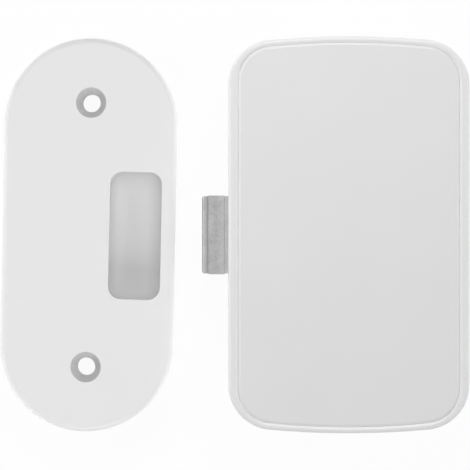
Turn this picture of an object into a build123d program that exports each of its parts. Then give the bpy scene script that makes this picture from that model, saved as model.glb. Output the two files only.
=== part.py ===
from build123d import *
from math import acos, ceil, cos, pi, radians, sin, tan
import os

# Smart cabinet lock with its strike, in millimetres.
# The lock lies on its back with its front up. The origin is the centre of its back face,
# +X points away from the strike and +Z out of the front.

# Lock body shell
rim_side = 2.0
rim_end = 1.25
ledge = 0.6
back_wall = 2.0
body_bow = 1.7
body_corner = 9.1
front_round = 0.7
back_round = 0.6

# Front cover
cover_thickness = 2.0
cover_gap = 0.02
groove_width = 0.5
groove_depth = 0.25
cover_corner = 7.0
tongue_width = 8.0
tongue_thickness = 1.2
tongue_reach = 3.5
tongue_gap = 0.2
tongue_spacing = 40.0
end_tongue_x = 11.0
cover_bow = 1.65

# Latch bolt
bolt_width = 16.0
bolt_height = 8.0
bolt_projection = 5.3
bolt_travel = 5.5
nose_length = 4.5
nose_step = 0.15
nose_round = 0.3
tip_length = 1.2
tip_step = 0.6
tip_round = 0.5
shoulder_run = 0.7
tail_thickness = 4.0
tail_run_out = 4.5
tail_room = 0.5
slide_gap = 0.2
pad_height = 2.9
pad_gap = 0.1
magnet_radius = 1.5
magnet_length = 2.0
magnet_setback = 2.7

# Rack and pinion
gear_module = 0.5
pinion_teeth = 12
pinion_face = 6.0
pinion_inset = 0.5
pinion_room = 0.5
pressure_angle = radians(20)
rack_addendum = 0.35
tip_clearance = 0.15
backlash = 0.16
rack_spare_teeth = 1

# Gear motor
gearbox_width = 12.0
gearbox_height = 10.0
gearbox_length = 9.0
gearbox_corner = 0.8
gearbox_gap = 0.6
motor_length = 14.0
can_edge = 0.5
end_cap_length = 1.4
end_cap_boss_radius = 2.0
end_cap_boss_length = 0.8
motor_end_room = 2.2
shaft_radius = 1.5
shaft_flat = 0.5
shaft_length = 9.4
collar_radius = 2.2
collar_length = 0.6
terminal_width = 1.6
terminal_thickness = 0.4
terminal_length = 1.4
terminal_spread = 3.0
motor_rail_spread = 3.5
motor_rail_inset = 3.5

# Motor clamp
clamp_thickness = 0.6
clamp_width = 6.0
clamp_gap = 0.1
clamp_foot = 3.3
clamp_bend = 0.7
clamp_foot_height = 9.0
cover_room = 0.65

# Dry cells and their contacts
cell_radius = 5.25
cell_length = 44.5
cell_edge = 0.5
nub_radius = 1.9
nub_length = 0.9
cell_floor_gap = 0.05
cell_gap = 0.2
cell_side_gap = 0.4
contact_room = 2.15
contact_sheet = 0.4
contact_width = 6.0
contact_touch_gap = 0.05
contact_bend = 0.5
contact_tab = 2.4
tab_solder = 1.6
bay_wall = 1.0
bay_wall_gap = 0.1
bay_wall_height = 9.0
divider_height = 2.0
notch_height = 1.2

# Circuit board
board_side_gap = 1.7
board_end_gap = 3.9
board_width = 14.5
board_thickness = 1.0
board_height = 9.0
board_corner = 3.5
post_radius = 2.1
board_gap = 0.5
board_hole_inset = 2.4
radio_width = 9.0
radio_length = 11.0
radio_margin = 0.5
radio_antenna = 1.5
radio_board = 0.8
radio_shield = 1.6
radio_front_gap = 1.5
chip_width = 3.0
chip_height = 0.9
chip_step = 4.4
small_chip_step = 3.3
buzzer_radius = 3.25
buzzer_height = 3.5
buzzer_hole = 0.8
buzzer_edge_gap = 0.95
sensor_width = 3.0
sensor_thickness = 1.5
sensor_height = 3.0
sensor_stand = 0.8
sensor_pin_pitch = 1.0
switch_width = 4.5
switch_height = 2.6
button_radius = 1.1
button_gap = 0.1
button_depth = 1.2
button_stand = 1.2
button_travel = 0.25

# Screws
screw_radius = 0.8
screw_head_radius = 1.4
screw_head_height = 1.0
screw_depth = 4.0
boss_radius = 1.8

# Mounting holes in the back
mount_hole_radius = 1.9
mount_sink_radius = 3.4
mount_inset = 4.9

# Bolt guide plate
guide_wall = 1.2
guide_wall_height = 5.5
plate_thickness = 1.2
plate_length = 11.0
plate_reach = 7.0
plate_gap = 0.15
plate_corner = 1.6

# Leads
lead_radius = 0.5
lead_floor_gap = 0.1
lead_bend = 1.2
lead_spread = 0.7
lead_turn = 4.0
lead_inset = 1.7

# Strike
strike_length = 80.2
strike_width = 35.25
strike_height = 9.0
strike_round = 1.2
strike_base_round = 0.3
strike_wall = 2.0
strike_gap_to_bolt = 5.6
strike_lay_angle = -1.2
strike_hole_spacing = 53.9
strike_hole_radius = 1.85
strike_sink_radius = 3.1
strike_sink_drop = 2.5
strike_boss_radius = 4.6
pocket_length = 26.0
pocket_width = 10.6
pocket_corner = 2.6
pocket_offset = 9.5
pocket_floor = 1.3
pocket_wall = 1.5
rib_thickness = 1.2
strike_rib_spread = 9.0

# Heights worked out from the bolt and its drive
side_wall = rim_side + ledge
bolt_bottom = back_wall + pad_height + pad_gap
bolt_top = bolt_bottom + bolt_height
tail_top = bolt_bottom + tail_thickness
pitch_radius = gear_module * pinion_teeth / 2
pinion_outer = pitch_radius + gear_module
pinion_root = pitch_radius - rack_addendum - tip_clearance
pitch_line = tail_top - rack_addendum
axis_z = pitch_line + pitch_radius
motor_top = axis_z + gearbox_height / 2
motor_bottom = axis_z - gearbox_height / 2
cover_bottom = motor_top + clamp_gap + clamp_thickness + cover_room
body_depth = cover_bottom + cover_thickness

# Places along X, from the bolt's shoulder at the left wall to the outer cell at the right wall
drive_run = shoulder_run + bolt_travel + pinion_room + pinion_outer + tail_run_out + bolt_travel + tail_room
bay_run = bay_wall + bay_wall_gap + 4 * cell_radius + cell_gap + cell_side_gap
inner_x = (drive_run + bay_run) / 2
body_width = 2 * (inner_x + side_wall)
bolt_tip = -body_width / 2 - bolt_projection
shoulder_x = -inner_x + shoulder_run
pinion_x = shoulder_x + bolt_travel + pinion_room + pinion_outer
tail_end = pinion_x + tail_run_out
outer_cell_x = inner_x - cell_side_gap - cell_radius
inner_cell_x = outer_cell_x - 2 * cell_radius - cell_gap
bay_left = inner_cell_x - cell_radius - bay_wall_gap - bay_wall

# Places along Y, from the bolt's middle to the motor's end
bolt_side = bolt_width / 2
guide_y = bolt_side + slide_gap
gearbox_y = guide_y + guide_wall + gearbox_gap
motor_y = gearbox_y + gearbox_length
end_cap_y = motor_y + motor_length
motor_end_y = end_cap_y + end_cap_length + end_cap_boss_length
inner_y = motor_end_y + motor_end_room
body_height = 2 * (inner_y + side_wall)
pinion_y = bolt_side - pinion_inset
bay_end = cell_length / 2 + contact_room
cell_z = back_wall + cell_floor_gap + cell_radius
mount_y = inner_y - mount_inset

# Places of the bolt guide, the motor clamp and the circuit board
plate_left = shoulder_x + bolt_travel + slide_gap + pinion_room
plate_right = plate_left + plate_length
plate_bottom = tail_top + plate_gap
plate_front = -guide_y - guide_wall - 2 * boss_radius
plate_screw_y = plate_front + boss_radius
plate_screws = [(plate_left + boss_radius, plate_screw_y), (plate_right - boss_radius, plate_screw_y)]
clamp_y = motor_y + motor_length / 2
clamp_side = gearbox_width / 2 + clamp_gap + clamp_thickness
clamp_screw_x = clamp_side + clamp_foot - screw_head_radius - clamp_gap
clamp_screws = [(pinion_x - clamp_screw_x, clamp_y), (pinion_x + clamp_screw_x, clamp_y)]
board_left = -inner_x + board_side_gap
board_right = board_left + board_width
board_back = plate_front - board_gap
board_front = -inner_y + board_end_gap
board_x = (board_left + board_right) / 2
board_y = (board_back + board_front) / 2
board_length = board_back - board_front
board_top = board_height + board_thickness
board_screws_at = [
    (board_left + board_hole_inset, board_back - board_hole_inset),
    (board_right - board_hole_inset, board_front + board_hole_inset),
]
radio_x = board_left + radio_margin + radio_width / 2
radio_y = board_front + radio_front_gap + radio_length / 2
switch_x = board_right - switch_width / 2 - radio_margin / 2
switch_y = board_y
buzzer_x = board_right - buzzer_radius - buzzer_edge_gap
buzzer_y = board_back - buzzer_radius - buzzer_edge_gap
sensor_y = board_back - sensor_thickness / 2
rest_post_at = (board_left + board_hole_inset, board_front + board_hole_inset)


def bowed_rectangle(width, height, bow, corner):
    """Add a rectangle with bowed ends and rounded corners to the sketch being drawn."""
    x = width / 2
    y = height / 2
    with BuildLine() as outline:
        Line((-x, bow - y), (-x, y - bow))
        ThreePointArc((-x, y - bow), (0, y), (x, y - bow))
        Line((x, y - bow), (x, bow - y))
        ThreePointArc((x, bow - y), (0, -y), (-x, bow - y))
    make_face(outline.edges())
    fillet(vertices(), corner)


def block(left, right, front, back, bottom, top, mode=Mode.ADD):
    """Add or cut a block between six faces in the part being built."""
    with BuildSketch(Plane.XY.offset(bottom)) as base:
        with Locations(((left + right) / 2, (front + back) / 2)):
            Rectangle(right - left, back - front)
    extrude(base.sketch, amount=top - bottom, mode=mode)


def post(centre, radius, bottom, top):
    """Add a round post to the part being built."""
    with BuildSketch(Plane.XY.offset(bottom)) as base:
        with Locations(centre):
            Circle(radius)
    extrude(base.sketch, amount=top - bottom)


def pilot_hole(centre, top):
    """Cut a screw's pilot hole down from a height in the part being built."""
    with BuildSketch(Plane.XY.offset(top)) as mouth:
        with Locations(centre):
            Circle(screw_radius)
    extrude(mouth.sketch, amount=-screw_depth, mode=Mode.SUBTRACT)


def pan_screw(centre, seat, grip):
    """Add a pan-head screw whose head sits at a height and whose shank fills its pilot hole."""
    with BuildSketch(Plane.XY.offset(seat)) as head:
        with Locations(centre):
            Circle(screw_head_radius)
    extrude(head.sketch, amount=screw_head_height)
    fillet(edges().group_by(Axis.Z)[-1], screw_head_height / 2)
    with BuildSketch(Plane.XY.offset(seat)) as shank:
        with Locations(centre):
            Circle(screw_radius)
    extrude(shank.sketch, amount=-screw_depth - grip)


def across(y):
    """The plane at a given Y that faces -Y, with X to the right and Z up."""
    return Plane.XZ.offset(-y)


def drive_plane(y):
    """The plane across the pinion's axis at a given Y, centred on that axis."""
    return Plane((pinion_x, y, axis_z), x_dir=(1, 0, 0), z_dir=(0, -1, 0))


def involute(angle):
    """The involute function of a pressure angle."""
    return tan(angle) - angle


def tooth_half_angle(radius):
    """Half of the angle that one pinion tooth spans at a radius."""
    at_pitch = (pi * gear_module - backlash) / 4 / pitch_radius
    base_radius = pitch_radius * cos(pressure_angle)
    return at_pitch + involute(pressure_angle) - involute(acos(min(1, base_radius / radius)))


def pinion_outline():
    """The corners of the pinion, with one tooth pointing straight down at the rack."""
    base_radius = pitch_radius * cos(pressure_angle)
    flank = [base_radius, (base_radius + pitch_radius) / 2, pitch_radius, (pitch_radius + pinion_outer) / 2]
    half = [(pinion_root, tooth_half_angle(base_radius))]
    half += [(radius, tooth_half_angle(radius)) for radius in flank + [pinion_outer]]
    corners = []
    for tooth in range(pinion_teeth):
        middle = 2 * pi * tooth / pinion_teeth - pi / 2
        polar = [(radius, middle - angle) for radius, angle in half]
        polar += [(radius, middle + angle) for radius, angle in reversed(half)]
        corners += [(radius * cos(angle), radius * sin(angle)) for radius, angle in polar]
    return corners


def shaft_section():
    """The D section of the gearbox shaft, with its flat on top."""
    with BuildSketch() as section:
        Circle(shaft_radius)
        with Locations((0, shaft_radius)):
            Rectangle(2 * shaft_radius, 2 * shaft_flat, mode=Mode.SUBTRACT)
    return section.sketch


def dry_cell(x, positive_side):
    """Add a dry cell along Y with its positive nub toward +Y or -Y."""
    negative_end = Plane((x, -positive_side * cell_length / 2, cell_z), z_dir=(0, positive_side, 0))
    with BuildSketch(negative_end) as can:
        Circle(cell_radius)
    extrude(can.sketch, amount=cell_length - nub_length)
    fillet(edges().filter_by(GeomType.CIRCLE), cell_edge)
    with BuildSketch(negative_end) as nub:
        Circle(nub_radius)
    extrude(nub.sketch, amount=cell_length)


def leaf_contact(x, side, tab):
    """Add a bent leaf contact at the bay's +Y or -Y end, with or without a tab through the wall."""
    sheet_y = bay_end - contact_sheet / 2
    touch_y = cell_length / 2 + contact_touch_gap + contact_sheet / 2
    tab_z = back_wall + contact_sheet
    leaf = [
        (side * sheet_y, cell_z + contact_width / 2),
        (side * (sheet_y - contact_sheet), cell_z + contact_width / 2 + contact_sheet),
        (side * touch_y, cell_z),
        (side * (touch_y + sheet_y) / 2, cell_z - contact_width / 2),
    ]
    foot = [(side * (bay_end + contact_tab), tab_z), (side * sheet_y, tab_z)]
    root = foot if tab else [(side * sheet_y, cell_z - contact_width / 2)]
    with BuildSketch(Plane.YZ.offset(x)) as profile:
        with BuildLine():
            FilletPolyline(*root, *leaf, radius=contact_bend / 2)
        trace(line_width=contact_sheet)
    extrude(profile.sketch, amount=contact_width / 2, both=True)


def lead(points):
    """Add a round lead along a route of straight runs joined by arcs."""
    with BuildLine() as route:
        FilletPolyline(*points, radius=lead_bend)
    with BuildSketch(Plane(points[0], z_dir=route.line % 0)) as section:
        Circle(lead_radius)
    sweep(section.sketch, path=route.line)


# Housing: moulded tray with the bolt's window, the drive's seats and the battery bay
os.makedirs("parts", exist_ok=True)
with BuildPart() as housing:
    with BuildSketch(Plane.XY):
        bowed_rectangle(body_width, body_height, body_bow, body_corner)
    extrude(amount=body_depth)
    fillet(housing.edges().group_by(Axis.Z)[-1], front_round)
    fillet(housing.edges().group_by(Axis.Z)[0], back_round)
    with BuildSketch(Plane.XY.offset(back_wall)):
        bowed_rectangle(2 * inner_x, 2 * inner_y, body_bow, body_corner - side_wall)
    extrude(amount=body_depth, mode=Mode.SUBTRACT)
    with BuildSketch(Plane.XY.offset(cover_bottom)):
        bowed_rectangle(body_width - 2 * rim_side, body_height - 2 * rim_end, cover_bow, cover_corner)
    extrude(amount=body_depth, mode=Mode.SUBTRACT)
    front_face = housing.faces().sort_by(Axis.Z)[-1]
    chamfer(front_face.inner_wires()[0].edges(), groove_width, groove_depth, reference=front_face)
    # Bolt window, pad and side guides
    window_bottom = bolt_bottom - slide_gap
    window_top = bolt_top + slide_gap
    block(-body_width, -inner_x, -guide_y, guide_y, window_bottom, window_top, Mode.SUBTRACT)
    block(-inner_x, tail_end, -guide_y, guide_y, back_wall, back_wall + pad_height)
    for side in (-1, 1):
        near = side * guide_y
        far = side * (guide_y + guide_wall)
        block(-inner_x, tail_end, min(near, far), max(near, far), back_wall, back_wall + guide_wall_height)
    # Rails under the motor, clear of the leads between them
    for side in (-1, 1):
        rail_left = pinion_x + side * motor_rail_spread - guide_wall / 2
        rail_front = gearbox_y + motor_rail_inset
        block(rail_left, rail_left + guide_wall, rail_front, end_cap_y, back_wall, motor_bottom)
    # Bosses for the clamp, the guide plate and the board
    for centre in clamp_screws:
        post(centre, boss_radius, back_wall, clamp_foot_height)
        pilot_hole(centre, clamp_foot_height)
    for centre in plate_screws:
        post(centre, boss_radius, back_wall, plate_bottom)
        pilot_hole(centre, plate_bottom)
    for centre in board_screws_at:
        post(centre, post_radius, back_wall, board_height)
        pilot_hole(centre, board_height)
    post(rest_post_at, post_radius, back_wall, board_height)
    # Battery bay
    bay_top = back_wall + bay_wall_height
    block(bay_left, bay_left + bay_wall, -bay_end - bay_wall, bay_end + bay_wall, back_wall, bay_top)
    for side in (-1, 1):
        near = side * bay_end
        far = side * (bay_end + bay_wall)
        block(bay_left, inner_x, min(near, far), max(near, far), back_wall, bay_top)
    divider_left = (inner_cell_x + outer_cell_x - bay_wall) / 2
    divider_top = back_wall + divider_height
    block(divider_left, divider_left + bay_wall, -bay_end, bay_end, back_wall, divider_top)
    for x in (inner_cell_x, outer_cell_x):
        half = contact_width / 2 + slide_gap
        notch_top = back_wall + notch_height
        block(x - half, x + half, -bay_end - bay_wall, -bay_end, back_wall, notch_top, Mode.SUBTRACT)
    # Mounting holes, countersunk from inside
    with Locations((0, -mount_y, back_wall), (0, mount_y, back_wall)):
        CounterSinkHole(mount_hole_radius, mount_sink_radius, back_wall)
housing.part.label = "housing"
export_step(housing.part, "parts/housing.step")

# Front cover: flat panel with a bevelled edge and friction tongues that hold it in the body
with BuildPart() as front_cover:
    with BuildSketch(Plane.XY.offset(cover_bottom)):
        bowed_rectangle(
            body_width - 2 * (rim_side + cover_gap),
            body_height - 2 * (rim_end + cover_gap),
            cover_bow,
            cover_corner - cover_gap,
        )
    extrude(amount=cover_thickness)
    panel_face = front_cover.faces().sort_by(Axis.Z)[-1]
    chamfer(panel_face.edges(), groove_width, groove_depth, reference=panel_face)
    tongue_bottom = cover_bottom - tongue_reach
    side_tongue_x = inner_x - tongue_gap - tongue_thickness / 2
    end_tongue_y = inner_y - body_bow - tongue_gap - tongue_thickness / 2
    with BuildSketch(Plane.XY.offset(tongue_bottom)):
        with GridLocations(2 * side_tongue_x, tongue_spacing, 2, 2):
            Rectangle(tongue_thickness, tongue_width)
        with Locations((end_tongue_x, -end_tongue_y), (end_tongue_x, end_tongue_y)):
            Rectangle(tongue_width, tongue_thickness)
    extrude(amount=tongue_reach)
front_cover.part.label = "front_cover"
export_step(front_cover.part, "parts/front_cover.step")

# Latch bolt: stepped tip, eased nose, shank and a thinner tail with the rack on top
bolt_middle = bolt_bottom + bolt_height / 2
shank_side = bolt_side - nose_step
nose_end = bolt_tip + nose_length
nose_plane = Plane((nose_end, 0, bolt_middle), x_dir=(0, 1, 0), z_dir=(-1, 0, 0))
magnet_x = pinion_x - magnet_setback
magnet_z = bolt_bottom + tail_thickness / 2
tooth_pitch = pi * gear_module
rack_gap = (tooth_pitch + backlash / 2) / 2
rack_depth = gear_module + tip_clearance
rack_slope = tan(pressure_angle)
rack_first = -ceil(bolt_travel / tooth_pitch)
with BuildPart() as latch_bolt:
    with BuildSketch(nose_plane):
        Rectangle(bolt_width, bolt_height)
    extrude(amount=nose_length - tip_length)
    fillet(latch_bolt.faces().sort_by(Axis.X)[0].edges(), nose_round)
    with BuildSketch(nose_plane):
        Rectangle(2 * shank_side, bolt_height - 2 * tip_step)
    extrude(amount=nose_length)
    fillet(latch_bolt.faces().sort_by(Axis.X)[0].edges(), tip_round)
    with BuildSketch(Plane.XZ):
        with BuildLine():
            Polyline(
                (nose_end, bolt_bottom + nose_step),
                (tail_end, bolt_bottom + nose_step),
                (tail_end, tail_top),
                (shoulder_x, tail_top),
                (shoulder_x, bolt_top - nose_step),
                (nose_end, bolt_top - nose_step),
                close=True,
            )
        make_face()
    extrude(amount=shank_side, both=True)
    with BuildSketch(across(shank_side)):
        turns = range(rack_first, rack_spare_teeth + 1)
        with Locations(*[(pinion_x + turn * tooth_pitch, pitch_line) for turn in turns]):
            Polygon(
                (-rack_gap / 2 + rack_depth * rack_slope, -rack_depth),
                (rack_gap / 2 - rack_depth * rack_slope, -rack_depth),
                (rack_gap / 2 + rack_depth * rack_slope, rack_depth),
                (-rack_gap / 2 - rack_depth * rack_slope, rack_depth),
                align=None,
            )
    extrude(amount=shank_side - pinion_y + pinion_face + pinion_inset, mode=Mode.SUBTRACT)
    with BuildSketch(across(-shank_side)):
        with Locations((magnet_x, magnet_z)):
            Circle(magnet_radius)
    extrude(amount=-magnet_length, mode=Mode.SUBTRACT)
latch_bolt.part.label = "latch_bolt"
export_step(latch_bolt.part, "parts/latch_bolt.step")

# Magnet in the bolt's side that the position sensor reads
with BuildPart() as bolt_magnet:
    with BuildSketch(across(-shank_side)):
        with Locations((magnet_x, magnet_z)):
            Circle(magnet_radius)
    extrude(amount=-magnet_length)
bolt_magnet.part.label = "bolt_magnet"
export_step(bolt_magnet.part, "parts/bolt_magnet.step")

# Plate that holds the bolt's tail down
with BuildPart() as bolt_guide_plate:
    plate_back = -bolt_side + plate_reach
    block(plate_left, plate_right, plate_front, plate_back, plate_bottom, plate_bottom + plate_thickness)
    fillet(bolt_guide_plate.edges().filter_by(Axis.Z), plate_corner)
    for centre in plate_screws:
        with Locations((*centre, plate_bottom + plate_thickness)):
            Hole(screw_radius, plate_thickness)
bolt_guide_plate.part.label = "bolt_guide_plate"
export_step(bolt_guide_plate.part, "parts/bolt_guide_plate.step")

with BuildPart() as guide_plate_screws:
    for centre in plate_screws:
        pan_screw(centre, plate_bottom + plate_thickness, plate_thickness)
guide_plate_screws.part.label = "guide_plate_screws"
export_step(guide_plate_screws.part, "parts/guide_plate_screws.step")

# Pinion on the gear motor's D shaft
with BuildPart() as drive_pinion:
    with BuildSketch(drive_plane(pinion_y)):
        with BuildLine():
            Polyline(*pinion_outline(), close=True)
        make_face()
        add(shaft_section(), mode=Mode.SUBTRACT)
    extrude(amount=pinion_face)
drive_pinion.part.label = "drive_pinion"
export_step(drive_pinion.part, "parts/drive_pinion.step")

with BuildPart() as gearbox_shaft:
    with BuildSketch(drive_plane(gearbox_y - collar_length)):
        add(shaft_section())
    extrude(amount=shaft_length - collar_length)
gearbox_shaft.part.label = "gearbox_shaft"
export_step(gearbox_shaft.part, "parts/gearbox_shaft.step")

# Gear motor: gearbox with its bearing collar, flat-sided can, end cap and terminals
with BuildPart() as gearbox:
    with BuildSketch(drive_plane(motor_y)):
        RectangleRounded(gearbox_width, gearbox_height, gearbox_corner)
    extrude(amount=gearbox_length)
    with BuildSketch(drive_plane(gearbox_y)):
        Circle(collar_radius)
    extrude(amount=collar_length)
gearbox.part.label = "gearbox"
export_step(gearbox.part, "parts/gearbox.step")

with BuildPart() as motor_can:
    with BuildSketch(drive_plane(end_cap_y)):
        Circle(gearbox_width / 2)
        Rectangle(gearbox_width, gearbox_height, mode=Mode.INTERSECT)
    extrude(amount=motor_length)
    fillet(motor_can.faces().sort_by(Axis.Y)[-1].edges(), can_edge)
motor_can.part.label = "motor_can"
export_step(motor_can.part, "parts/motor_can.step")

with BuildPart() as motor_end_cap:
    with BuildSketch(drive_plane(end_cap_y + end_cap_length)):
        Circle(gearbox_width / 2 - can_edge)
        Rectangle(gearbox_width, gearbox_height - 2 * can_edge, mode=Mode.INTERSECT)
    extrude(amount=end_cap_length)
    with BuildSketch(drive_plane(end_cap_y + end_cap_length + end_cap_boss_length)):
        Circle(end_cap_boss_radius)
    extrude(amount=end_cap_boss_length)
motor_end_cap.part.label = "motor_end_cap"
export_step(motor_end_cap.part, "parts/motor_end_cap.step")

terminal_y = end_cap_y + end_cap_length
with BuildPart() as motor_terminals:
    with BuildSketch(drive_plane(terminal_y + terminal_length)):
        with GridLocations(2 * terminal_spread, 0, 2, 1):
            Rectangle(terminal_width, terminal_thickness)
    extrude(amount=terminal_length)
motor_terminals.part.label = "motor_terminals"
export_step(motor_terminals.part, "parts/motor_terminals.step")

# Strap that holds the motor down
with BuildPart() as motor_clamp:
    foot_z = clamp_foot_height + clamp_thickness / 2
    strap_z = motor_top + clamp_gap + clamp_thickness / 2
    strap_x = clamp_side - clamp_thickness / 2
    strap_end = clamp_side + clamp_foot
    with BuildSketch(across(clamp_y + clamp_width / 2)):
        with BuildLine():
            FilletPolyline(
                (pinion_x - strap_end, foot_z),
                (pinion_x - strap_x, foot_z),
                (pinion_x - strap_x, strap_z),
                (pinion_x + strap_x, strap_z),
                (pinion_x + strap_x, foot_z),
                (pinion_x + strap_end, foot_z),
                radius=clamp_bend,
            )
        trace(line_width=clamp_thickness)
    extrude(amount=clamp_width)
    for centre in clamp_screws:
        with Locations((*centre, clamp_foot_height + clamp_thickness)):
            Hole(screw_radius, clamp_thickness)
motor_clamp.part.label = "motor_clamp"
export_step(motor_clamp.part, "parts/motor_clamp.step")

with BuildPart() as motor_clamp_screws:
    for centre in clamp_screws:
        pan_screw(centre, clamp_foot_height + clamp_thickness, clamp_thickness)
motor_clamp_screws.part.label = "motor_clamp_screws"
export_step(motor_clamp_screws.part, "parts/motor_clamp_screws.step")

# Circuit board and what it carries
with BuildPart() as circuit_board:
    with BuildSketch(Plane.XY.offset(board_height)):
        with Locations((board_x, board_y)):
            RectangleRounded(board_width, board_length, board_corner)
        with Locations(*board_screws_at):
            Circle(screw_radius, mode=Mode.SUBTRACT)
    extrude(amount=board_thickness)
circuit_board.part.label = "circuit_board"
export_step(circuit_board.part, "parts/circuit_board.step")

with BuildPart() as board_screws:
    for centre in board_screws_at:
        pan_screw(centre, board_top, board_thickness)
board_screws.part.label = "board_screws"
export_step(board_screws.part, "parts/board_screws.step")

with BuildPart() as radio_module:
    with BuildSketch(Plane.XY.offset(board_top)):
        with Locations((radio_x, radio_y)):
            Rectangle(radio_width, radio_length)
    extrude(amount=radio_board)
    with BuildSketch(Plane.XY.offset(board_top + radio_board)):
        shield_width = radio_width - 2 * radio_margin
        shield_length = radio_length - radio_margin - radio_antenna
        with Locations((radio_x, radio_y + (radio_antenna - radio_margin) / 2)):
            RectangleRounded(shield_width, shield_length, radio_margin)
    extrude(amount=radio_shield)
radio_module.part.label = "radio_module"
export_step(radio_module.part, "parts/radio_module.step")

with BuildPart() as board_chips:
    with BuildSketch(Plane.XY.offset(board_top)):
        with Locations((switch_x, switch_y - chip_step)):
            Rectangle(chip_width, chip_width)
        with Locations((board_screws_at[0][0], board_screws_at[0][1] - small_chip_step)):
            Rectangle(chip_width, chip_width / 2)
    extrude(amount=chip_height)
board_chips.part.label = "board_chips"
export_step(board_chips.part, "parts/board_chips.step")

with BuildPart() as buzzer:
    with BuildSketch(Plane.XY.offset(board_top)):
        with Locations((buzzer_x, buzzer_y)):
            Circle(buzzer_radius)
    extrude(amount=buzzer_height)
    fillet(buzzer.edges().group_by(Axis.Z)[-1], can_edge)
    with Locations((buzzer_x, buzzer_y, board_top + buzzer_height)):
        Hole(buzzer_hole, buzzer_height / 2)
buzzer.part.label = "buzzer"
export_step(buzzer.part, "parts/buzzer.step")

with BuildPart() as position_sensor:
    with BuildSketch(Plane.XY.offset(board_top + sensor_stand)):
        with Locations((magnet_x, sensor_y)):
            Rectangle(sensor_width, sensor_thickness)
    extrude(amount=sensor_height)
    with BuildSketch(Plane.XY.offset(board_top)):
        with Locations((magnet_x, sensor_y)):
            with GridLocations(sensor_pin_pitch, 0, 3, 1):
                Rectangle(terminal_thickness, terminal_thickness)
    extrude(amount=sensor_stand)
position_sensor.part.label = "position_sensor"
export_step(position_sensor.part, "parts/position_sensor.step")

with BuildPart() as pairing_switch:
    with BuildSketch(Plane.XY.offset(board_top)):
        with Locations((switch_x, switch_y)):
            RectangleRounded(switch_width, switch_width, can_edge)
    extrude(amount=switch_height)
    with BuildSketch(Plane.XY.offset(board_top + switch_height)):
        with Locations((switch_x, switch_y)):
            Circle(button_radius + button_gap)
    extrude(amount=-button_depth - button_travel, mode=Mode.SUBTRACT)
pairing_switch.part.label = "pairing_switch"
export_step(pairing_switch.part, "parts/pairing_switch.step")

with BuildPart() as pairing_button:
    with BuildSketch(Plane.XY.offset(board_top + switch_height - button_depth + button_gap)):
        with Locations((switch_x, switch_y)):
            Circle(button_radius)
    extrude(amount=button_depth - button_gap + button_stand)
    fillet(pairing_button.edges().group_by(Axis.Z)[-1], button_travel)
pairing_button.part.label = "pairing_button"
export_step(pairing_button.part, "parts/pairing_button.step")

# Dry cells, laid opposite ways, and their contacts
with BuildPart() as battery_inner:
    dry_cell(inner_cell_x, 1)
battery_inner.part.label = "battery_inner"
export_step(battery_inner.part, "parts/battery_inner.step")

with BuildPart() as battery_outer:
    dry_cell(outer_cell_x, -1)
battery_outer.part.label = "battery_outer"
export_step(battery_outer.part, "parts/battery_outer.step")

with BuildPart() as contact_negative:
    leaf_contact(inner_cell_x, -1, True)
contact_negative.part.label = "contact_negative"
export_step(contact_negative.part, "parts/contact_negative.step")

with BuildPart() as contact_positive:
    leaf_contact(outer_cell_x, -1, True)
contact_positive.part.label = "contact_positive"
export_step(contact_positive.part, "parts/contact_positive.step")

with BuildPart() as contact_link:
    leaf_contact(inner_cell_x, 1, False)
    leaf_contact(outer_cell_x, 1, False)
    link_left = inner_cell_x - contact_width / 2
    link_right = outer_cell_x + contact_width / 2
    block(link_left, link_right, bay_end - contact_sheet, bay_end, cell_z - contact_width / 2, cell_z)
contact_link.part.label = "contact_link"
export_step(contact_link.part, "parts/contact_link.step")

# Leads on the floor of the housing, from the motor and the battery bay up to the board
lead_z = back_wall + lead_floor_gap + lead_radius
terminal_solder_y = terminal_y + terminal_length / 2
far_lead = 3 * lead_spread
with BuildPart() as motor_lead_left:
    lead([
        (pinion_x - terminal_spread, terminal_solder_y, axis_z - terminal_thickness / 2),
        (pinion_x - terminal_spread, terminal_solder_y, lead_z),
        (pinion_x - lead_spread, terminal_solder_y - lead_turn, lead_z),
        (pinion_x - lead_spread, gearbox_y + lead_spread, lead_z),
        (bay_left - far_lead, gearbox_y + lead_spread, lead_z),
        (bay_left - far_lead, board_back - lead_turn / 2, lead_z),
        (board_right - lead_inset, board_back - lead_turn / 2, lead_z),
        (board_right - lead_inset, board_back - lead_turn / 2, board_height),
    ])
motor_lead_left.part.label = "motor_lead_left"
export_step(motor_lead_left.part, "parts/motor_lead_left.step")

with BuildPart() as motor_lead_right:
    lead([
        (pinion_x + terminal_spread, terminal_solder_y, axis_z - terminal_thickness / 2),
        (pinion_x + terminal_spread, terminal_solder_y, lead_z),
        (pinion_x + lead_spread, terminal_solder_y - lead_turn, lead_z),
        (pinion_x + lead_spread, gearbox_y + far_lead, lead_z),
        (bay_left - lead_spread, gearbox_y + far_lead, lead_z),
        (bay_left - lead_spread, board_back - lead_turn, lead_z),
        (board_right - lead_inset, board_back - lead_turn, lead_z),
        (board_right - lead_inset, board_back - lead_turn, board_height),
    ])
motor_lead_right.part.label = "motor_lead_right"
export_step(motor_lead_right.part, "parts/motor_lead_right.step")

tab_lead_y = -bay_end - tab_solder
tab_half = contact_width / 2
with BuildPart() as battery_lead_negative:
    lead([
        (inner_cell_x - tab_half, tab_lead_y, lead_z),
        (bay_left - lead_turn, tab_lead_y, lead_z),
        (board_right - lead_inset, switch_y, lead_z),
        (board_right - lead_inset, switch_y, board_height),
    ])
battery_lead_negative.part.label = "battery_lead_negative"
export_step(battery_lead_negative.part, "parts/battery_lead_negative.step")

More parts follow.
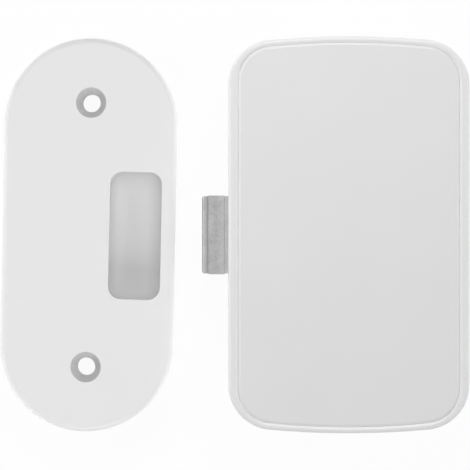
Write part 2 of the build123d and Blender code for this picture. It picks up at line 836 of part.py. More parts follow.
with BuildPart() as battery_lead_positive:
    lead([
        (outer_cell_x - tab_half, tab_lead_y, lead_z),
        (outer_cell_x - tab_half - lead_turn / 2, tab_lead_y, lead_z),
        (inner_cell_x + tab_half, tab_lead_y - lead_turn / 2, lead_z),
        (bay_left - lead_turn / 2, tab_lead_y - lead_turn / 2, lead_z),
        (board_right - lead_inset, switch_y - lead_turn, lead_z),
        (board_right - lead_inset, switch_y - lead_turn, board_height),
    ])
battery_lead_positive.part.label = "battery_lead_positive"
export_step(battery_lead_positive.part, "parts/battery_lead_positive.step")

# Strike: moulded keeper with a cored underside, lying beside the lock
strike_x = bolt_tip - strike_gap_to_bolt - strike_width / 2
lay = radians(strike_lay_angle)
strike_plane = Plane((strike_x, 0, 0), x_dir=(cos(lay), sin(lay), 0), z_dir=(0, 0, 1))
with BuildPart() as strike_plate:
    with BuildSketch(strike_plane):
        SlotOverall(strike_length, strike_width, rotation=90)
    extrude(amount=strike_height)
    fillet(strike_plate.edges().group_by(Axis.Z)[-1], strike_round)
    fillet(strike_plate.edges().group_by(Axis.Z)[0], strike_base_round)
    # Core, leaving the screw bosses, the pocket's box and ribs
    with BuildSketch(strike_plane):
        SlotOverall(strike_length - 2 * strike_wall, strike_width - 2 * strike_wall, rotation=90)
        Rectangle(rib_thickness, strike_length, mode=Mode.SUBTRACT)
        with GridLocations(0, 2 * strike_rib_spread, 1, 3):
            Rectangle(strike_width, rib_thickness, mode=Mode.SUBTRACT)
        with GridLocations(0, strike_hole_spacing, 1, 2):
            Circle(strike_boss_radius, mode=Mode.SUBTRACT)
        with Locations((pocket_offset, 0)):
            Rectangle(pocket_width + 2 * pocket_wall, pocket_length + 2 * pocket_wall, mode=Mode.SUBTRACT)
    extrude(amount=strike_height - strike_wall, mode=Mode.SUBTRACT)
    # Pocket for the bolt
    with BuildSketch(strike_plane.offset(strike_height)):
        with Locations((pocket_offset, 0)):
            RectangleRounded(pocket_width, pocket_length, pocket_corner)
    extrude(amount=pocket_floor - strike_height, mode=Mode.SUBTRACT)
    # Screw holes, with the heads sunk below the face
    with BuildSketch(strike_plane.offset(strike_height)):
        with GridLocations(0, strike_hole_spacing, 1, 2):
            Circle(strike_sink_radius)
    extrude(amount=-strike_sink_drop, mode=Mode.SUBTRACT)
    with Locations(strike_plane.offset(strike_height - strike_sink_drop)):
        with GridLocations(0, strike_hole_spacing, 1, 2):
            CounterSinkHole(strike_hole_radius, strike_sink_radius, strike_height)
strike_plate.part.label = "strike_plate"
export_step(strike_plate.part, "parts/strike_plate.step")
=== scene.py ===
import math

import bmesh
import bpy
from mathutils import Matrix, Vector


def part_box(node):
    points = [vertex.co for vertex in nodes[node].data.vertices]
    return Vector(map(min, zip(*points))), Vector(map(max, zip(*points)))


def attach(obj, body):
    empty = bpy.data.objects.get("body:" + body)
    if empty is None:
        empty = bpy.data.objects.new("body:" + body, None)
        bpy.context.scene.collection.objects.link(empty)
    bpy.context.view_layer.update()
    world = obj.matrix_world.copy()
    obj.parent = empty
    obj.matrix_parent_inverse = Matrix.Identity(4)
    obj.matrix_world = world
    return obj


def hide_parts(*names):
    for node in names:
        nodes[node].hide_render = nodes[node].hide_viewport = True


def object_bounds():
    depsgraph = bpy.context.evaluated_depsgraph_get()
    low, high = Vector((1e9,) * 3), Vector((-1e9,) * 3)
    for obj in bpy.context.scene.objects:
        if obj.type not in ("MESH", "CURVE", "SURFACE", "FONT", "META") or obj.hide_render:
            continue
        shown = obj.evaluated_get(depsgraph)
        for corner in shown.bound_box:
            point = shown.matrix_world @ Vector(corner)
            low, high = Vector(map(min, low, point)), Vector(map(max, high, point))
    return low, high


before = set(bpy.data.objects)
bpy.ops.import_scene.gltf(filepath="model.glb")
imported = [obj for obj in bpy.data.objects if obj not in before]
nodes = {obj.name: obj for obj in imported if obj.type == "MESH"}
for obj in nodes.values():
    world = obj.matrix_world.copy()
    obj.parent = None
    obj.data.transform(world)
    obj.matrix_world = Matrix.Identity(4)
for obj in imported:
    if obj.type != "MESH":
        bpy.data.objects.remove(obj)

cad_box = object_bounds()

# Camera: straight down on the lock's front, with the body's length upright
IMAGE_PIXELS = 470
PIXEL_AT_FRONT = 0.0002013
CAMERA_X = -0.02294
CAMERA_Y = -0.00004
CAMERA_HEIGHT = 0.9
CAMERA_NEAR = 0.01
CAMERA_FAR = 10.0
SENSOR = 36.0

# Lamps on all but the strike, and lamps on the strike alone: place, size across and power in watts
LOCK_LAMPS = {
    "lock_high": ((-0.02, 0.30, 0.30), 0.20, 0.78),
    "lock_left": ((-0.30, 0.05, 0.20), 0.20, 0.35),
    "lock_right": ((0.50, 0.0, 0.40), 0.30, 0.76),
    "lock_low": ((-0.02, -0.50, 0.40), 0.30, 0.55),
    "lock_left_edge": ((-0.35, 0.0, 0.06), 0.20, 0.15),
    "lock_right_edge": ((0.35, 0.0, 0.06), 0.20, 0.20),
    "lock_low_edge": ((0.0, -0.35, 0.06), 0.20, 0.20),
}
STRIKE_LAMPS = {
    "strike_high": ((0.0, 0.10, 0.60), 0.40, 0.90),
    "strike_left": ((-0.60, 0.0, 0.35), 0.60, 0.85),
    "strike_right": ((0.50, 0.0, 0.40), 0.30, 0.70),
    "strike_low": ((-0.02, -0.50, 0.40), 0.30, 1.18),
    "strike_left_edge": ((-0.35, 0.0, 0.05), 0.20, 0.42),
    "strike_right_edge": ((0.25, 0.0, 0.05), 0.20, 0.36),
    "strike_low_edge": ((-0.05, -0.35, 0.05), 0.20, 0.08),
    "strike_high_edge": ((-0.05, 0.35, 0.05), 0.20, 0.22),
}
LAMP_TARGET = (-0.025, 0.0, 0.01)

# The height up to which a lamp leaves no glare, then the levels of the light tent and the floor
LOW_LAMP = 0.1
TENT_TOP = 0.0
TENT_SIDES = 0.67
FLOOR_COLOR = (0.9, 0.9, 0.9)
FLOOR_WHITE = 0.95
FLOOR_SIZE = 3.0
FLOOR_Z = -0.00005

# Sizes and places of the small details, in metres
SCREW_HEAD_RADIUS = 0.0014
SCREW_HEAD_HEIGHT = 0.0010
SCREW_SHANK_RADIUS = 0.0008
RECESS_ARM = 0.00078
RECESS_HALF_WIDTH = 0.00019
RECESS_DEPTH = 0.0006
PASSIVE_SIZE = (0.0015, 0.00075, 0.0005)
PASSIVE_INSET = 0.00003
PASSIVE_EASE = 0.00006
LEG_LENGTH = 0.0005
LEG_WIDTH = 0.0003
LEG_THICKNESS = 0.0002
LEG_EASE = 0.00004
SOLDER_RADIUS = 0.00062
SOLDER_HALF_HEIGHT = 0.00048
TERMINAL_INSET = 0.0008
TAB_INSET = 0.0004
TAB_RISE = 0.0007
TAB_Y = -0.026
MERGE_DISTANCE = 0.000001

# Shares, steps and angles of the small details
SCREW_HEAD_RIM = 0.42
DOME_STEP = 15
RECESS_MOUTH = 1.1
RECESS_FLOOR = 0.55
PASSIVE_BODY = 0.56
PASSIVE_END = 0.22
SHARP_ANGLE = 32
BEVEL_SAMPLES = 6

# Chip resistors and capacitors: place on the board, and 1 for ceramic or 2 for film
PASSIVES = [
    (-0.0145, -0.0169, 1),
    (-0.0145, -0.0182, 2),
    (-0.0145, -0.0195, 1),
    (-0.0118, -0.0143, 2),
]
# Chips with legs: middle, half the span between rows, pitch, legs in a row, and whether rows lie along X
LEGGED_CHIPS = [
    ((-0.0080, -0.0279), 0.00175, 0.00065, 4, False),
    ((-0.0176, -0.0192), 0.00100, 0.00095, 3, True),
]

# Where the finishes of one piece meet, in metres
BOARD_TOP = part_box("circuit_board")[1][2]
# On the bolt: where the painted shade over its tip and step and the painted light towards the housing lie
BOLT_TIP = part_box("latch_bolt")[0][0]
BOLT_STEP_END = BOLT_TIP + 0.002
BOLT_SKIN_END = BOLT_TIP + 0.0028
BOLT_LIFTED_START = BOLT_TIP + 0.0054
GEARBOX_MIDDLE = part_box("gearbox")[1][1] - 0.0045
GEARBOX_DARK_REACH = 0.0035
RADIO_BOARD_TOP = BOARD_TOP + 0.00085
RADIO_AERIAL_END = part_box("radio_module")[0][1] + 0.0014
SENSOR_LEGS_TOP = BOARD_TOP + 0.0008
SWITCH_CASE_TOP = BOARD_TOP + 0.0022
CELL_BAND_START = 0.0152
CELL_LINE = 0.0138
CELL_LINE_HALF = 0.0004
CELL_SHIFT = 0.00045
CELL_SLEEVE_HALF = 0.0213


# Node-graph helpers
def start_material(name, color, roughness, metallic=0.0):
    """A new material with its tree and its shader, set to plain values."""
    material = bpy.data.materials.new(name)
    material.use_nodes = True
    tree = material.node_tree
    shader = tree.nodes["Principled BSDF"]
    shader.inputs["Base Color"].default_value = (*color, 1.0)
    shader.inputs["Roughness"].default_value = roughness
    shader.inputs["Metallic"].default_value = metallic
    return material, tree, shader


def place_on(tree):
    """The place on the object, in metres, in the lock's frame."""
    return tree.nodes.new("ShaderNodeTexCoord").outputs["Object"]


def axis_of(tree, vector, axis):
    """One axis of a vector."""
    node = tree.nodes.new("ShaderNodeSeparateXYZ")
    tree.links.new(vector, node.inputs["Vector"])
    return node.outputs[axis]


def noise(tree, scale, detail=3.0, roughness=0.55, place=None):
    """A noise value whose scale is in cells for each metre."""
    node = tree.nodes.new("ShaderNodeTexNoise")
    node.inputs["Scale"].default_value = scale
    node.inputs["Detail"].default_value = detail
    node.inputs["Roughness"].default_value = roughness
    tree.links.new(place or place_on(tree), node.inputs["Vector"])
    return node.outputs["Fac"]


def stretched(tree, factors):
    """The place with each axis scaled, for streaks and brushed lines."""
    node = tree.nodes.new("ShaderNodeMapping")
    node.inputs["Scale"].default_value = factors
    tree.links.new(place_on(tree), node.inputs["Vector"])
    return node.outputs["Vector"]


def stripes(tree, axis, scale, limit):
    """A mask of even stripes across an axis, which is 1 where their wave is above a limit."""
    node = tree.nodes.new("ShaderNodeTexWave")
    node.bands_direction = axis
    node.inputs["Scale"].default_value = scale
    tree.links.new(place_on(tree), node.inputs["Vector"])
    return arithmetic(tree, "GREATER_THAN", node.outputs["Fac"], limit)


def cells(tree, scale, distance="EUCLIDEAN"):
    """The outputs of a pattern of cells whose scale is in cells for each metre."""
    node = tree.nodes.new("ShaderNodeTexVoronoi")
    node.distance = distance
    node.inputs["Scale"].default_value = scale
    tree.links.new(place_on(tree), node.inputs["Vector"])
    return node.outputs


def spread(tree, value, low, high, out_low, out_high):
    """A value taken from one range to another."""
    node = tree.nodes.new("ShaderNodeMapRange")
    node.inputs["From Min"].default_value = low
    node.inputs["From Max"].default_value = high
    node.inputs["To Min"].default_value = out_low
    node.inputs["To Max"].default_value = out_high
    tree.links.new(value, node.inputs["Value"])
    return node.outputs["Result"]


def ramp(tree, value, stops):
    """A colour that follows a value through stops of (place, colour)."""
    node = tree.nodes.new("ShaderNodeValToRGB")
    band = node.color_ramp
    band.elements[0].position = stops[0][0]
    band.elements[0].color = (*stops[0][1], 1.0)
    band.elements[1].position = stops[-1][0]
    band.elements[1].color = (*stops[-1][1], 1.0)
    for place, color in stops[1:-1]:
        band.elements.new(place).color = (*color, 1.0)
    tree.links.new(value, node.inputs["Fac"])
    return node.outputs["Color"]


def feed(tree, socket, value):
    """Set a socket to a number or colour, or link a value into it."""
    if isinstance(value, (int, float)):
        socket.default_value = value
    elif isinstance(value, tuple):
        socket.default_value = (*value, 1.0)
    else:
        tree.links.new(value, socket)


def arithmetic(tree, operation, first, second):
    """One step of arithmetic on two values or numbers."""
    node = tree.nodes.new("ShaderNodeMath")
    node.operation = operation
    feed(tree, node.inputs[0], first)
    feed(tree, node.inputs[1], second)
    return node.outputs["Value"]


def distance_from(tree, value, middle):
    """How far a value is from a middle, either way."""
    return arithmetic(tree, "ABSOLUTE", arithmetic(tree, "SUBTRACT", value, middle), 0.0)


def chosen(tree, mask, first, second):
    """The first number where the mask is 0, the second where it is 1."""
    node = tree.nodes.new("ShaderNodeMix")
    feed(tree, node.inputs[0], mask)
    feed(tree, node.inputs[2], first)
    feed(tree, node.inputs[3], second)
    return node.outputs[0]


def laid_over(tree, mask, first, second):
    """The first colour where the mask is 0, the second where it is 1."""
    node = tree.nodes.new("ShaderNodeMixRGB")
    feed(tree, node.inputs["Fac"], mask)
    feed(tree, node.inputs["Color1"], first)
    feed(tree, node.inputs["Color2"], second)
    return node.outputs["Color"]


def multiplied(tree, first, second):
    """One colour multiplied by another."""
    node = tree.nodes.new("ShaderNodeMixRGB")
    node.blend_type = "MULTIPLY"
    node.inputs["Fac"].default_value = 1.0
    feed(tree, node.inputs["Color1"], first)
    feed(tree, node.inputs["Color2"], second)
    return node.outputs["Color"]


def grey(value):
    """A grey of one value."""
    return (value, value, value)


def shaded(color, part):
    """A colour made darker or lighter by a part of itself."""
    return tuple(min(1.0, channel * (1 + part)) for channel in color)


def bump(tree, shader, height, distance, edge=None):
    """Surface relief in metres on a shader, with edges eased by a radius if one is given."""
    node = tree.nodes.new("ShaderNodeBump")
    node.inputs["Distance"].default_value = distance
    tree.links.new(height, node.inputs["Height"])
    if edge:
        eased = tree.nodes.new("ShaderNodeBevel")
        eased.samples = BEVEL_SAMPLES
        eased.inputs["Radius"].default_value = edge
        tree.links.new(eased.outputs["Normal"], node.inputs["Normal"])
    tree.links.new(node.outputs["Normal"], shader.inputs["Normal"])


# Materials
def moulded(name, color, roughness, shade=0.03, grain=9000.0, relief=0.000004, edge=0.00008):
    """Moulded plastic: faint colour clouding, uneven gloss and a fine spark-eroded grain."""
    material, tree, shader = start_material(name, color, roughness)
    cloud = noise(tree, 60.0, 2.0)
    tones = ramp(tree, cloud, [(0.3, shaded(color, -shade)), (0.7, shaded(color, shade))])
    tree.links.new(tones, shader.inputs["Base Color"])
    gloss = spread(tree, noise(tree, 900.0, 3.0), 0.3, 0.7, roughness - 0.04, roughness + 0.04)
    tree.links.new(gloss, shader.inputs["Roughness"])
    bump(tree, shader, noise(tree, grain, 2.0), relief, edge)
    return material


def metal(name, color, roughness, streak=(1, 1, 1), grain=2500.0, shade=0.12, relief=0.000003):
    """Bare or plated metal: tone and gloss vary with its grain, which may be drawn out along an axis."""
    material, tree, shader = start_material(name, color, roughness, 1.0)
    lines = noise(tree, grain, 4.0, 0.6, stretched(tree, streak))
    tones = ramp(tree, lines, [(0.3, shaded(color, -shade)), (0.7, shaded(color, shade))])
    tree.links.new(tones, shader.inputs["Base Color"])
    gloss = spread(tree, lines, 0.3, 0.7, roughness - 0.07, roughness + 0.09)
    tree.links.new(gloss, shader.inputs["Roughness"])
    bump(tree, shader, lines, relief, 0.00005)
    return material


def cast_zinc():
    """Raw die-cast zinc: dull blotches and a coarse pitted skin, with painted shade over its rounded tip
    and in the step behind it, and painted light that lightens it towards the housing, where it is also
    glossier."""
    material, tree, shader = start_material("cast_zinc", grey(0.38), 0.44, 1.0)
    blotch = arithmetic(tree, "MULTIPLY", noise(tree, 420.0, 3.0), 0.4)
    grain = noise(tree, 3200.0, 5.0, 0.7)
    both = arithmetic(tree, "ADD", blotch, arithmetic(tree, "MULTIPLY", grain, 0.6))
    skin = ramp(tree, both, [(0.34, grey(0.31)), (0.66, grey(0.45))])
    # Lighter skin towards the housing: painted light that offsets the shade the housing wall casts on the
    # bolt, which is also glossier there
    lifted_skin = ramp(tree, both, [(0.34, grey(0.47)), (0.66, grey(0.63))])
    along = axis_of(tree, place_on(tree), "X")
    lift_and_polish = spread(tree, along, BOLT_SKIN_END, BOLT_LIFTED_START, 0.0, 1.0)
    step = spread(tree, along, BOLT_TIP, BOLT_STEP_END, 0.0, 1.0)
    # Painted shade along the bolt: darker over its rounded tip and in a band at the step behind it
    tones = [(0.1, 0.78), (0.22, 1.0), (0.34, 1.0), (0.48, 0.84), (0.58, 0.7), (0.7, 0.78), (0.8, 1.0)]
    painted_nose_shade = ramp(tree, step, [(place, grey(tone)) for place, tone in tones])
    base = multiplied(tree, laid_over(tree, lift_and_polish, skin, lifted_skin), painted_nose_shade)
    tree.links.new(base, shader.inputs["Base Color"])
    gloss = spread(tree, grain, 0.3, 0.7, 0.38, 0.52)
    polish = arithmetic(tree, "MULTIPLY", lift_and_polish, 0.1)
    tree.links.new(arithmetic(tree, "SUBTRACT", gloss, polish), shader.inputs["Roughness"])
    bump(tree, shader, both, 0.00002, 0.0001)
    return material


def two_zones(name, mask_of, first, second, grain=4000.0):
    """Two finishes on one piece, each a colour, roughness and metallic value, parted by a mask."""
    material, tree, shader = start_material(name, *first)
    mask = mask_of(tree)
    specks = noise(tree, grain, 3.0)
    base = laid_over(tree, mask, first[0], second[0])
    worn = multiplied(tree, base, ramp(tree, specks, [(0.3, grey(0.84)), (0.7, grey(1.0))]))
    tree.links.new(worn, shader.inputs["Base Color"])
    uneven = spread(tree, specks, 0.3, 0.7, -0.05, 0.07)
    gloss = arithmetic(tree, "ADD", chosen(tree, mask, first[1], second[1]), uneven)
    tree.links.new(gloss, shader.inputs["Roughness"])
    tree.links.new(chosen(tree, mask, first[2], second[2]), shader.inputs["Metallic"])
    bump(tree, shader, specks, 0.000003, 0.00006)
    return material


def above(axis, limit):
    """A mask that is 1 where the place is past a limit along an axis."""
    return lambda tree: arithmetic(tree, "GREATER_THAN", axis_of(tree, place_on(tree), axis), limit)


def off_middle(axis, middle, reach):
    """A mask that is 1 further than a reach from a middle along an axis."""
    def mask(tree):
        offset = distance_from(tree, axis_of(tree, place_on(tree), axis), middle)
        return arithmetic(tree, "GREATER_THAN", offset, reach)
    return mask


def solder_mask_board():
    """Green solder mask over copper tracks, tinned vias and a bare laminate edge."""
    mask_green, track_green = (0.012, 0.095, 0.04), (0.03, 0.19, 0.08)
    tinned, laminate = (0.55, 0.53, 0.46), (0.42, 0.36, 0.17)
    track_scale, via_scale = 420.0, 520.0
    material, tree, shader = start_material("solder_mask", mask_green, 0.3)
    patches = cells(tree, track_scale, "MANHATTAN")["Color"]
    turned = arithmetic(tree, "GREATER_THAN", axis_of(tree, patches, "X"), 0.5)
    tracks = chosen(tree, turned, *(stripes(tree, axis, track_scale, 0.72) for axis in ("X", "Y")))
    coated = laid_over(tree, tracks, mask_green, track_green)
    vias = arithmetic(tree, "LESS_THAN", cells(tree, via_scale)["Distance"], 0.13)
    face = laid_over(tree, vias, coated, tinned)
    normal = tree.nodes.new("ShaderNodeNewGeometry").outputs["Normal"]
    facing = arithmetic(tree, "ABSOLUTE", axis_of(tree, normal, "Z"), 0.0)
    side = arithmetic(tree, "LESS_THAN", facing, 0.5)
    tree.links.new(laid_over(tree, side, face, laminate), shader.inputs["Base Color"])
    gloss = spread(tree, noise(tree, 2500.0), 0.3, 0.7, 0.24, 0.38)
    tree.links.new(gloss, shader.inputs["Roughness"])
    bump(tree, shader, tracks, 0.00002)
    return material


def dry_cell_sleeve(name, positive):
    """A plain metallised sleeve with a pale band at the positive end and bare metal ends."""
    blue, pale, steel = (0.035, 0.13, 0.33), (0.52, 0.54, 0.57), (0.62, 0.6, 0.56)
    material, tree, shader = start_material(name, blue, 0.3)
    along = arithmetic(tree, "MULTIPLY", axis_of(tree, place_on(tree), "Y"), positive)
    band = arithmetic(tree, "GREATER_THAN", along, CELL_BAND_START)
    line = arithmetic(tree, "LESS_THAN", distance_from(tree, along, CELL_LINE), CELL_LINE_HALF)
    ends = off_middle("Y", -positive * CELL_SHIFT, CELL_SLEEVE_HALF)(tree)
    printed = laid_over(tree, arithmetic(tree, "MAXIMUM", band, line), blue, pale)
    base = laid_over(tree, ends, printed, steel)
    scuffs = noise(tree, 700.0, 5.0, 0.65)
    rubs = spread(tree, scuffs, 0.62, 0.75, 0.0, 0.15)
    worn = laid_over(tree, rubs, base, (0.4, 0.42, 0.45))
    tree.links.new(worn, shader.inputs["Base Color"])
    tree.links.new(spread(tree, scuffs, 0.3, 0.7, 0.2, 0.36), shader.inputs["Roughness"])
    tree.links.new(chosen(tree, ends, 0.35, 1.0), shader.inputs["Metallic"])
    bump(tree, shader, scuffs, 0.000006, 0.00006)
    return material


def radio_can():
    """A tinned shield on a dark module board, with a printed aerial on its bare end."""
    material, tree, shader = start_material("radio_shield", (0.66, 0.65, 0.62), 0.3, 1.0)
    place = place_on(tree)
    board = arithmetic(tree, "LESS_THAN", axis_of(tree, place, "Z"), RADIO_BOARD_TOP)
    bare_end = arithmetic(tree, "LESS_THAN", axis_of(tree, place, "Y"), RADIO_AERIAL_END)
    aerial = arithmetic(tree, "MULTIPLY", stripes(tree, "X", 380.0, 0.6), bare_end)
    module = laid_over(tree, aerial, (0.012, 0.03, 0.075), (0.55, 0.4, 0.16))
    tones = [(0.3, (0.52, 0.51, 0.49)), (0.7, (0.72, 0.71, 0.68))]
    shield = ramp(tree, noise(tree, 1200.0, 4.0), tones)
    tree.links.new(laid_over(tree, board, shield, module), shader.inputs["Base Color"])
    tree.links.new(chosen(tree, board, 1.0, 0.0), shader.inputs["Metallic"])
    gloss = spread(tree, noise(tree, 1500.0), 0.3, 0.7, 0.24, 0.4)
    tree.links.new(gloss, shader.inputs["Roughness"])
    bump(tree, shader, noise(tree, 400.0, 2.0), 0.00003, 0.0001)
    return material


def dress(material, *names):
    """Give nodes of the model a material."""
    for name in names:
        for slot in nodes[name].material_slots:
            slot.material = material


brass = (0.72, 0.5, 0.21)
steel_plate = metal("zinc_plated_steel", (0.6, 0.61, 0.6), 0.3)
tin = metal("tin", (0.68, 0.67, 0.64), 0.28, grain=4000.0)
dress(moulded("white_shell", grey(0.805), 0.38, shade=0.008), "housing")
dress(moulded("white_cover", grey(0.78), 0.45, shade=0.008), "front_cover")
dress(moulded("white_strike", grey(0.79), 0.32, shade=0.008), "strike_plate")
dress(cast_zinc(), "latch_bolt")
dress(metal("nickel_plate", (0.7, 0.68, 0.63), 0.2), "bolt_magnet")
dress(moulded("black_acetal", (0.03, 0.03, 0.032), 0.4, shade=0.15), "bolt_guide_plate")
dress(metal("machined_brass", brass, 0.27, streak=(1, 0.08, 1), grain=4000.0), "drive_pinion")
dress(metal("ground_steel", grey(0.6), 0.22, streak=(1, 0.05, 1), grain=5000.0), "gearbox_shaft")
dress(two_zones("gearbox_case", off_middle("Y", GEARBOX_MIDDLE, GEARBOX_DARK_REACH),
                (grey(0.03), 0.45, 0.0), (brass, 0.3, 1.0)), "gearbox")
dress(metal("nickel_can", (0.66, 0.65, 0.61), 0.28, streak=(1, 0.06, 1), grain=1800.0), "motor_can")
dress(moulded("natural_nylon", (0.62, 0.6, 0.53), 0.5, shade=0.05), "motor_end_cap")
dress(metal("tinned_brass", (0.7, 0.62, 0.42), 0.34), "motor_terminals")
dress(metal("clamp_steel", (0.58, 0.59, 0.59), 0.32, streak=(0.08, 1, 1)), "motor_clamp")
dress(steel_plate, "guide_plate_screws", "motor_clamp_screws", "board_screws")
dress(solder_mask_board(), "circuit_board")
dress(radio_can(), "radio_module")
dress(moulded("black_epoxy", (0.02, 0.02, 0.021), 0.5, shade=0.2, grain=12000.0), "board_chips")
dress(moulded("buzzer_case", grey(0.022), 0.36, shade=0.2), "buzzer")
dress(two_zones("sensor_epoxy", above("Z", SENSOR_LEGS_TOP),
                ((0.66, 0.64, 0.6), 0.3, 1.0), (grey(0.02), 0.5, 0.0)), "position_sensor")
dress(two_zones("switch_case", above("Z", SWITCH_CASE_TOP),
                (grey(0.025), 0.45, 0.0), ((0.62, 0.62, 0.61), 0.3, 1.0)), "pairing_switch")
dress(moulded("white_button", (0.72, 0.72, 0.7), 0.42), "pairing_button")
dress(dry_cell_sleeve("cell_sleeve_inner", 1), "battery_inner")
dress(dry_cell_sleeve("cell_sleeve_outer", -1), "battery_outer")
dress(metal("nickel_spring", (0.68, 0.66, 0.61), 0.24, streak=(0.1, 1, 1)),
      "contact_positive", "contact_negative", "contact_link")
dress(moulded("red_insulation", (0.45, 0.015, 0.015), 0.42, shade=0.1),
      "motor_lead_left", "battery_lead_positive")
dress(moulded("black_insulation", grey(0.014), 0.42, shade=0.2),
      "motor_lead_right", "battery_lead_negative")


# Small pieces
def add_piece(name, mesh, body, slot, *materials):
    """Add a mesh as a piece that rides on a body, smooth apart from its sharp edges."""
    for material in materials:
        mesh.materials.append(material)
    mesh.shade_smooth()
    mesh.set_sharp_from_angle(angle=math.radians(SHARP_ANGLE))
    piece = bpy.data.objects.new(name, mesh)
    bpy.context.scene.collection.objects.link(piece)
    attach(piece, body)
    return piece


def finished(form, name):
    """A mesh from one in making."""
    mesh = bpy.data.meshes.new(name)
    form.to_mesh(mesh)
    form.free()
    return mesh


def lathe(form, profile, centre, turns=28):
    """Add a turned solid to a mesh in making, from its profile of (radius, height)."""
    base = Vector(centre)
    points = [form.verts.new(base + Vector((radius, 0, height))) for radius, height in profile]
    edges = [form.edges.new(pair) for pair in zip(points, points[1:])]
    bmesh.ops.spin(form, geom=points + edges, cent=base, axis=(0, 0, 1), angle=2 * math.pi, steps=turns)
    bmesh.ops.remove_doubles(form, verts=form.verts, dist=MERGE_DISTANCE)


def cross_cutter(centres, top):
    """A mesh of tapered crosses that cut screw recesses."""
    form = bmesh.new()
    arm, half = RECESS_ARM, RECESS_HALF_WIDTH
    outline = [(arm, -half), (arm, half), (half, half), (half, arm), (-half, arm), (-half, half),
               (-arm, half), (-arm, -half), (-half, -half), (-half, -arm), (half, -arm), (half, -half)]
    rings = ((RECESS_MOUTH, top + RECESS_DEPTH / 4), (RECESS_FLOOR, top - RECESS_DEPTH))
    for x, y in centres:
        mouth, floor = ([form.verts.new((x + scale * u, y + scale * v, z)) for u, v in outline]
                        for scale, z in rings)
        form.faces.new(mouth)
        form.faces.new(list(reversed(floor)))
        for i in range(len(outline)):
            j = (i + 1) % len(outline)
            form.faces.new((mouth[i], floor[i], floor[j], mouth[j]))
    bmesh.ops.recalc_face_normals(form, faces=form.faces)
    return finished(form, "recess")


def cut(mesh, cutter):
    """A mesh with another cut out of it."""
    pair = [bpy.data.objects.new("cut", part) for part in (mesh, cutter)]
    for obj in pair:
        bpy.context.scene.collection.objects.link(obj)
    modifier = pair[0].modifiers.new("cut", "BOOLEAN")
    modifier.object = pair[1]
    modifier.solver = "EXACT"
    graph = bpy.context.evaluated_depsgraph_get()
    result = bpy.data.meshes.new_from_object(pair[0].evaluated_get(graph))
    for obj in pair:
        bpy.data.objects.remove(obj)
    return result


def recessed_screws(node, diagonal):
    """Pan-head screws with cross recesses in place of a node's plain ones."""
    low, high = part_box(node)
    head, shank, rim = SCREW_HEAD_RADIUS, SCREW_SHANK_RADIUS, SCREW_HEAD_RIM
    near, far = low[1] + head, high[1] - head
    centres = [(low[0] + head, far if diagonal else near), (high[0] - head, near)]
    seat = high[2] - SCREW_HEAD_HEIGHT
    tip = low[2] - seat
    dome = [(head * math.cos(angle), SCREW_HEAD_HEIGHT * (rim + (1 - rim) * math.sin(angle)))
            for angle in map(math.radians, range(0, 90, DOME_STEP))]
    profile = [(0, tip), (shank / 2, tip), (shank, tip + shank), (shank, 0), (head, 0), *dome,
               (0, SCREW_HEAD_HEIGHT)]
    form = bmesh.new()
    for x, y in centres:
        lathe(form, profile, (x, y, seat))
    bmesh.ops.recalc_face_normals(form, faces=form.faces)
    name = node + "_recessed"
    mesh = cut(finished(form, name), cross_cutter(centres, high[2]))
    piece = add_piece(name, mesh, "lock", "screw_steel", steel_plate)
    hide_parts(node)


def eased_box(form, centre, size, ease, material=0):
    """Add a block with eased edges to a mesh in making."""
    matrix = Matrix.Translation(centre) @ Matrix.Diagonal((*size, 1.0))
    corners = bmesh.ops.create_cube(form, size=1.0, matrix=matrix)["verts"]
    edges = list({edge for vert in corners for edge in vert.link_edges})
    made = bmesh.ops.bevel(form, geom=edges, offset=ease, segments=2, affect="EDGES", profile=0.5)
    faces = {face for vert in made["verts"] for face in vert.link_faces}
    for face in faces:
        face.material_index = material


def chip_legs(form, middle, half_span, pitch, count, along_x):
    """Add the two rows of a chip's legs to a mesh in making."""
    foot = (LEG_WIDTH, LEG_LENGTH) if along_x else (LEG_LENGTH, LEG_WIDTH)
    for side in (-1, 1):
        for leg in range(count):
            across, along = side * half_span, (leg - (count - 1) / 2) * pitch
            x, y = (along, across) if along_x else (across, along)
            centre = (middle[0] + x, middle[1] + y, BOARD_TOP + LEG_THICKNESS / 2)
            eased_box(form, centre, (*foot, LEG_THICKNESS), LEG_EASE)


def board_parts():
    """Chip resistors and capacitors with tinned ends, and the chips' legs."""
    form = bmesh.new()
    long, wide, tall = PASSIVE_SIZE
    end = long * (1 - PASSIVE_END) / 2
    for x, y, look in PASSIVES:
        sections = ((0, PASSIVE_BODY, PASSIVE_INSET, look),
                    (-end, PASSIVE_END, 0, 0), (end, PASSIVE_END, 0, 0))
        for shift, share, inset, material in sections:
            centre = (x + shift, y, BOARD_TOP + tall / 2)
            eased_box(form, centre, (long * share, wide - inset, tall - inset), PASSIVE_EASE, material)
    for chip in LEGGED_CHIPS:
        chip_legs(form, *chip)
    ceramic = moulded("ceramic", (0.36, 0.27, 0.17), 0.4, shade=0.1)
    film = moulded("resistor_film", (0.025, 0.025, 0.027), 0.35, shade=0.1)
    add_piece("board_parts", finished(form, "board_parts"), "lock", "chip_black", tin, ceramic, film)


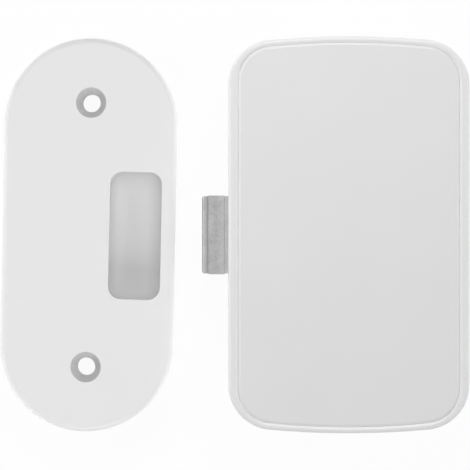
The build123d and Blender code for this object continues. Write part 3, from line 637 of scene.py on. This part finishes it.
def solder_joints():
    """Rounded solder fillets where the leads meet the motor's terminals and the battery contacts' tabs."""
    low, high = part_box("motor_terminals")
    middle_y, middle_z = (low[1] + high[1]) / 2, (low[2] + high[2]) / 2
    joints = [(x, middle_y, middle_z) for x in (low[0] + TERMINAL_INSET, high[0] - TERMINAL_INSET)]
    for contact in ("contact_negative", "contact_positive"):
        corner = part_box(contact)[0]
        joints.append((corner[0] + TAB_INSET, TAB_Y, corner[2] + TAB_RISE))
    form = bmesh.new()
    scale = Matrix.Diagonal((SOLDER_RADIUS, SOLDER_RADIUS, SOLDER_HALF_HEIGHT, 1.0))
    for place in joints:
        matrix = Matrix.Translation(place) @ scale
        bmesh.ops.create_uvsphere(form, u_segments=18, v_segments=12, radius=1.0, matrix=matrix)
    add_piece("solder_joints", finished(form, "solder_joints"), "lock", "terminal_brass", tin)


recessed_screws("guide_plate_screws", False)
recessed_screws("motor_clamp_screws", False)
recessed_screws("board_screws", True)
board_parts()
solder_joints()


# Floor, light and camera
def seen_directly(tree):
    """One for rays from the eye, and for those that metal or glass sends on."""
    path = tree.nodes.new("ShaderNodeLightPath").outputs
    either = arithmetic(tree, "MAXIMUM", path["Is Camera Ray"], path["Is Glossy Ray"])
    return arithmetic(tree, "MAXIMUM", either, path["Is Transmission Ray"])


def make_floor():
    """A plain pale floor that is white to the eye and keeps a soft shadow."""
    bpy.ops.mesh.primitive_plane_add(size=FLOOR_SIZE, location=(CAMERA_X, 0, FLOOR_Z))
    floor = bpy.context.object
    floor.name = "floor"
    material, tree, shader = start_material("pale_floor", FLOOR_COLOR, 0.9)
    shader.inputs["Specular IOR Level"].default_value = 0.0
    white = tree.nodes.new("ShaderNodeEmission")
    mix = tree.nodes.new("ShaderNodeMixShader")
    share = spread(tree, seen_directly(tree), 0.0, 1.0, 0.0, FLOOR_WHITE)
    tree.links.new(share, mix.inputs["Fac"])
    tree.links.new(shader.outputs["BSDF"], mix.inputs[1])
    tree.links.new(white.outputs["Emission"], mix.inputs[2])
    tree.links.new(mix.outputs["Shader"], tree.nodes["Material Output"].inputs["Surface"])
    floor.data.materials.append(material)


def make_world():
    """A white surround, which lights more from the horizon than from above, like a light tent."""
    world = bpy.data.worlds.new("studio")
    bpy.context.scene.world = world
    world.use_nodes = True
    tree = world.node_tree
    background = tree.nodes["Background"]
    background.inputs["Color"].default_value = (1, 1, 1, 1)
    upward = axis_of(tree, tree.nodes.new("ShaderNodeTexCoord").outputs["Generated"], "Z")
    tent = spread(tree, upward, 0.0, 1.0, TENT_SIDES, TENT_TOP)
    tree.links.new(chosen(tree, seen_directly(tree), tent, 1.0), background.inputs["Strength"])


def make_lamps(lamps, state):
    """Soft square lamps that face the object, with the strike alone in their light or left out of it.
    The low ones, which only lift the edges, leave no glare on the flat faces."""
    for name, (place, size, power) in lamps.items():
        lamp = bpy.data.lights.new(name, "AREA")
        lamp.size = size
        lamp.energy = power
        obj = bpy.data.objects.new(name, lamp)
        obj.location = place
        obj.rotation_euler = (Vector(LAMP_TARGET) - Vector(place)).to_track_quat("-Z", "Y").to_euler()
        bpy.context.scene.collection.objects.link(obj)
        obj.visible_glossy = place[2] > LOW_LAMP
        lit = bpy.data.collections.new(name + "_light")
        lit.objects.link(nodes["strike_plate"])
        lit.collection_objects[0].light_linking.link_state = state
        obj.light_linking.receiver_collection = lit
        if state == "INCLUDE":
            obj.light_linking.blocker_collection = lit


def make_camera():
    """The camera at the photograph's angle."""
    camera = bpy.data.cameras.new("camera")
    camera.sensor_fit = "HORIZONTAL"
    camera.sensor_width = SENSOR
    camera.lens = SENSOR * CAMERA_HEIGHT / (IMAGE_PIXELS * PIXEL_AT_FRONT)
    camera.clip_start = CAMERA_NEAR
    camera.clip_end = CAMERA_FAR
    obj = bpy.data.objects.new("camera", camera)
    obj.location = (CAMERA_X, CAMERA_Y, cad_box[1][2] + CAMERA_HEIGHT)
    bpy.context.scene.collection.objects.link(obj)
    bpy.context.scene.camera = obj


make_floor()
make_world()
make_lamps(LOCK_LAMPS, "EXCLUDE")
make_lamps(STRIKE_LAMPS, "INCLUDE")
make_camera()
bpy.context.scene.view_settings.view_transform = "Standard"
